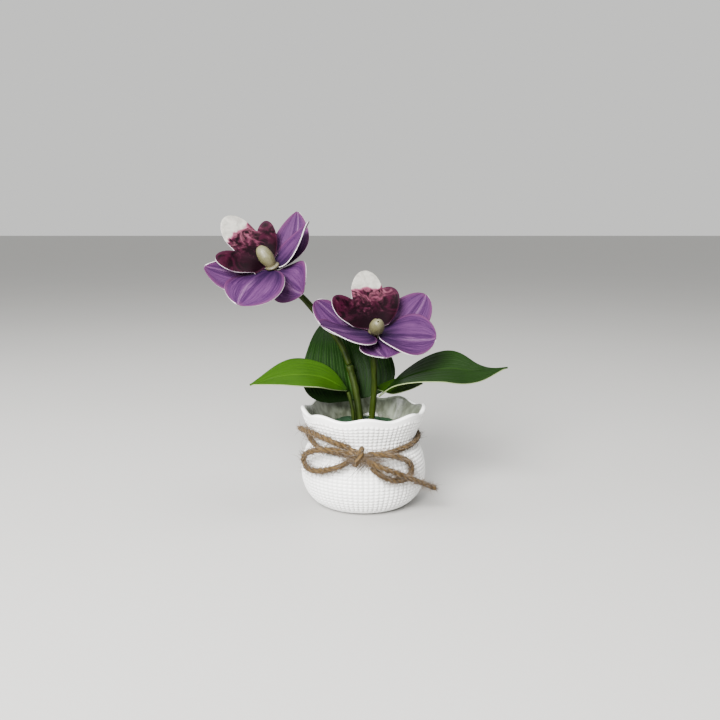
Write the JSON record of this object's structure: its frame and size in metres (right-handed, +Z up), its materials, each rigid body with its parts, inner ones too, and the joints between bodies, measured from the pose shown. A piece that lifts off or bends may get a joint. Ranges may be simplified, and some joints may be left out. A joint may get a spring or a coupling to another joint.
{
  "type": "potted orchid",
  "caption": "Artificial orchid with violet blooms on plastic stems over broad leaves, in a white ceramic sack pot tied at its neck with jute twine.",
  "frame": {"origin": "centre of the pot's flat base, on the surface it stands on", "axes": "+Z up; the front, where the bow is tied, looks along -Y; +X is to the right seen from the front"},
  "size_m": [0.207, 0.0958, 0.2036],
  "materials": {
    "glaze": "glossy white glaze over a moulded woven-sack relief",
    "foam": "dark green open-cell foam",
    "stem": "olive green moulded plastic",
    "leaf": "printed and embossed coated cloth, dark green with pale cut edges",
    "bright_leaf": "printed and embossed coated cloth, yellow-green with pale cut edges",
    "petal": "printed violet cloth with lighter lengthwise streaks and white cut edges",
    "lip": "printed dark maroon cloth with pink mottling fading to pale grey at the middle lobe",
    "column": "cream-green moulded plastic",
    "twine": "plied jute with loose hairs"
  },
  "bodies": {
    "root": {"pot": "glaze", "foam_plug": "foam", "stem_upper_foot": "stem", "stem_upper": "stem", "stem_lower": "stem", "leaf_stem_left": "stem", "leaf_stem_back": "stem", "leaf_left": "bright_leaf", "leaf_right": "leaf", "leaf_back": "leaf", "leaf_small": "leaf", "upper_dorsal_sepal": "petal", "upper_lateral_sepal_left": "petal", "upper_lateral_sepal_right": "petal", "upper_petal_left": "petal", "upper_petal_right": "petal", "upper_lip": "lip", "upper_column": "column", "upper_calyx": "stem", "lower_dorsal_sepal": "petal", "lower_lateral_sepal_left": "petal", "lower_lateral_sepal_right": "petal", "lower_petal_left": "petal", "lower_petal_right": "petal", "lower_lip": "lip", "lower_column": "column", "lower_calyx": "stem", "twine_wrap": "twine", "twine_loop_left": "twine", "twine_loop_right": "twine", "twine_tail_left": "twine", "twine_tail_right": "twine", "twine_knot": "twine"}
  },
  "joints": []
}
